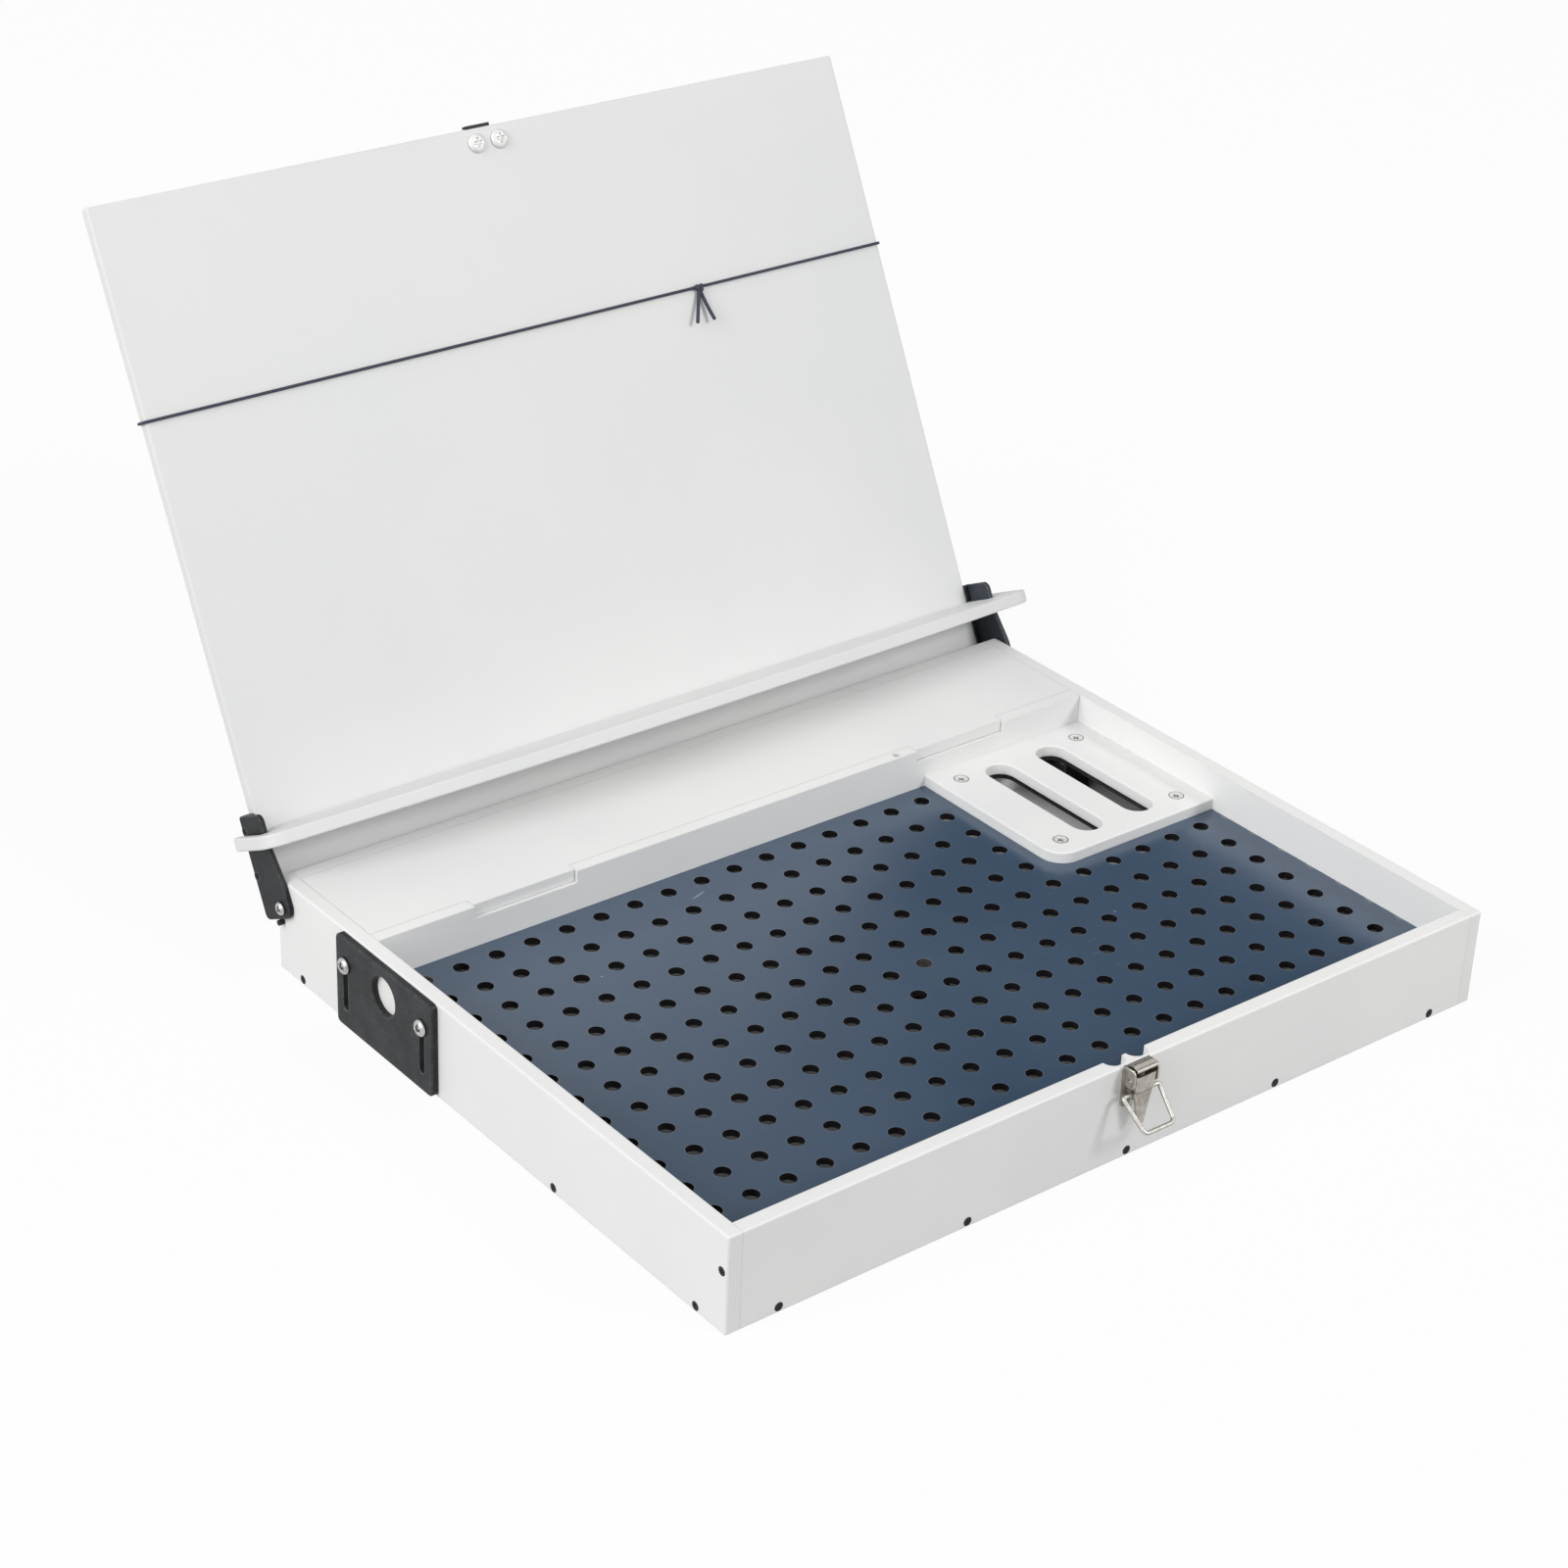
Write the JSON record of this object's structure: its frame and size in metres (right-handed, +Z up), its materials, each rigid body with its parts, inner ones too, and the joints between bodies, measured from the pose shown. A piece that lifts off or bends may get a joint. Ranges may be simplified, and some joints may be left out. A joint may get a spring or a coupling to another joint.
{
  "type": "hobby workbench",
  "caption": "Shallow table-top hobby bench with a perforated work plate, tool slots, rear storage with lift-off cover, hinged lid that leans back as a plan holder, side stop and draw latch.",
  "frame": {"origin": "centre of the box's underside", "axes": "+X to the right of the work plate, +Y to the back, where the lid hinges, +Z up"},
  "size_m": [0.478, 0.5378, 0.3315],
  "materials": {
    "white_board": "satin white paint on plywood",
    "blue_board": "matt slate blue paint on fibreboard",
    "plain_wood": "sawn softwood",
    "black_steel": "black oxide",
    "black_plastic": "fine matt",
    "bright_steel": "bright zinc plate",
    "nickel": "nickel plate",
    "brass": "turned",
    "elastic": "braided navy elastic"
  },
  "bodies": {
    "box": {"bottom_panel": "white_board", "front_wall": "white_board", "back_wall": "white_board", "left_wall": "white_board", "right_wall": "white_board", "divider": "white_board", "corner_plate": "white_board", "work_plate": "blue_board", "work_plate_posts": "black_plastic", "cover_cleats": "plain_wood", "front_wall_screws": "black_steel", "back_wall_screws": "black_steel", "left_wall_screws": "black_steel", "right_wall_screws": "black_steel", "corner_screws": "black_steel", "work_plate_screws": "black_steel", "stop_pins": "black_steel", "corner_plate_screws": "bright_steel", "side_stop_screws": "bright_steel", "pivot_screws": "bright_steel", "latch_base": "nickel", "latch_rivets": "nickel", "latch_pin": "nickel", "side_stop_inserts": "brass", "pivot_inserts": "brass"},
    "lid": {"lid_panel": "white_board", "left_arm": "black_plastic", "right_arm": "black_plastic", "left_packer": "black_plastic", "right_packer": "black_plastic", "arm_screws": "black_steel", "keeper": "black_steel", "keeper_screws": "bright_steel", "elastic_cord": "elastic"},
    "ledge": {"plan_ledge": "white_board"},
    "side_stop": {"side_stop_plate": "black_plastic"},
    "cover": {"storage_cover": "white_board"},
    "lever": {"latch_lever": "nickel"},
    "bail": {"latch_bail": "nickel"}
  },
  "joints": [
    {"name": "lid_hinge", "type": "hinge", "parent": "box", "child": "lid", "pos_m": [0, 0.1675, 0.037], "axis": [-1, 0, 0], "range_deg": [-116.6, 0]},
    {"name": "ledge_lift", "type": "slide", "parent": "lid", "child": "ledge", "axis": [0, 0.4352, 0.9003], "range_m": [0, 0.3555]},
    {"name": "side_stop_slide", "type": "slide", "parent": "box", "child": "side_stop", "axis": [0, 0, 1], "range_m": [0, 0.022]},
    {"name": "cover_lift", "type": "slide", "parent": "box", "child": "cover", "axis": [0, 0, 1], "range_m": [0, 0.018]},
    {"name": "lever_swing", "type": "hinge", "parent": "box", "child": "lever", "pos_m": [0, -0.18, 0.044], "axis": [1, 0, 0], "range_deg": [-75, 0]},
    {"name": "bail_swing", "type": "hinge", "parent": "lever", "child": "bail", "pos_m": [0, -0.18, 0.0377], "axis": [-1, 0, 0], "range_deg": [-48, 135]}
  ],
  "couplings": [
    {"joint": "ledge_lift", "follows": "lid_hinge", "m_per_rad": -0.17444}
  ]
}
